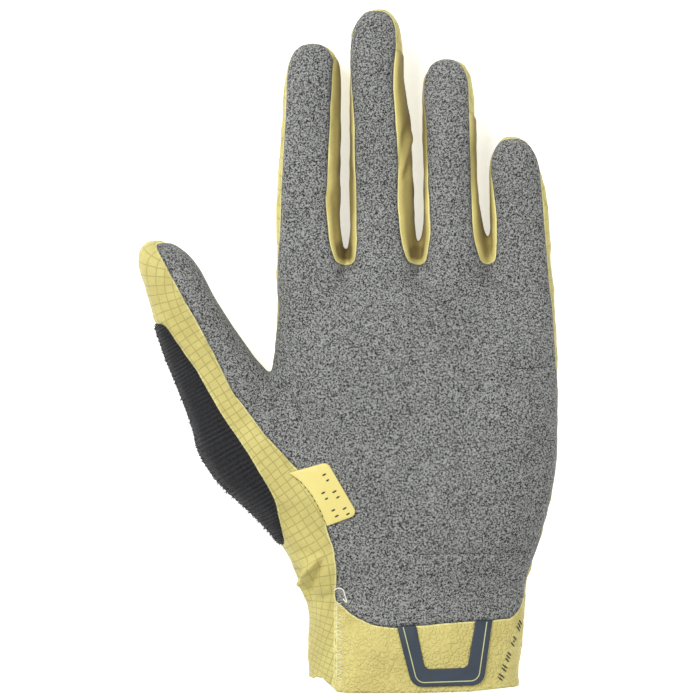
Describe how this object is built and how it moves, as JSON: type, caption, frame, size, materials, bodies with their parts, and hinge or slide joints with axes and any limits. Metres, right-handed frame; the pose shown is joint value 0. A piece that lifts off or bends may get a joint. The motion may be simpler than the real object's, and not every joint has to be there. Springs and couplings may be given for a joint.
{
  "type": "cycling glove",
  "caption": "Full-finger cycling glove for the left hand, palm up, with suede palm, ripstop sides, terry thumb wipe and slip-on cuff.",
  "frame": {"origin": "middle of the glove's outline on the surface that its back lies on", "axes": "+Y to the fingertips, +Z out of the palm, -X to the thumb"},
  "size_m": [0.1478, 0.24, 0.0302],
  "materials": {
    "suede": "matt",
    "ripstop": "matt",
    "stretch_cloth": "matt",
    "terry": "matt",
    "slate_rubber": "satin",
    "yellow_rubber": "satin"
  },
  "bodies": {
    "root": {"palm_panel": "suede", "back_panel": "ripstop", "gusset_index_middle": "ripstop", "gusset_middle_ring": "ripstop", "gusset_ring_little": "ripstop", "thumb_side": "ripstop", "thumb_wipe": "terry", "cuff_front": "stretch_cloth", "cuff_pull_band": "slate_rubber", "label_tab": "yellow_rubber"}
  },
  "joints": []
}
